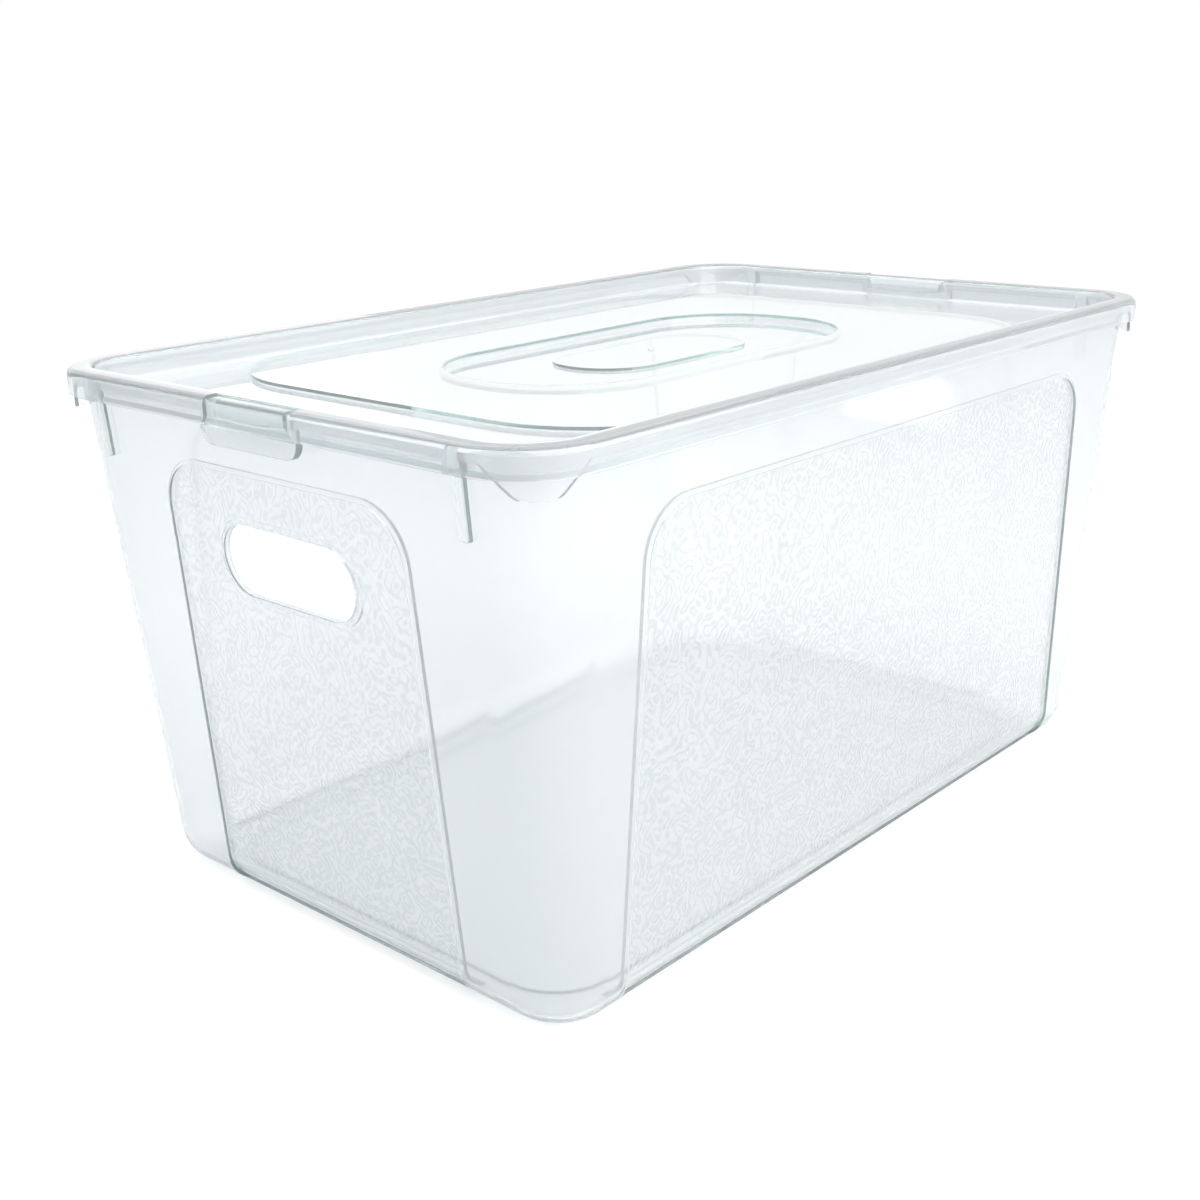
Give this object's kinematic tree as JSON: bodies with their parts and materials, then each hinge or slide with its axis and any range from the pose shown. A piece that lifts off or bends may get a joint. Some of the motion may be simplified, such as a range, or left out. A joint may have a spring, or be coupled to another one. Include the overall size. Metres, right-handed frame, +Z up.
{
  "type": "lidded storage bin",
  "caption": "Clear moulded rectangular storage bin: tapered tub with a hand hole in each end and a lift-off stacking lid.",
  "frame": {"origin": "middle of the flat base, on the surface the bin stands on", "axes": "+Z up, the way the lid lifts off; X along the length, through the two hand holes; Y across"},
  "size_m": [0.46, 0.2884, 0.232],
  "materials": {
    "tub_plastic": "clear polypropylene, polished mould face, fine worm texture on the side panels",
    "lid_plastic": "clear polypropylene, polished mould face"
  },
  "bodies": {
    "tub": {"tub": "tub_plastic"},
    "lid": {"lid": "lid_plastic"}
  },
  "joints": [
    {"name": "lid_lift", "type": "slide", "parent": "tub", "child": "lid", "axis": [0, 0, 1], "range_m": [0, 0.15]}
  ]
}
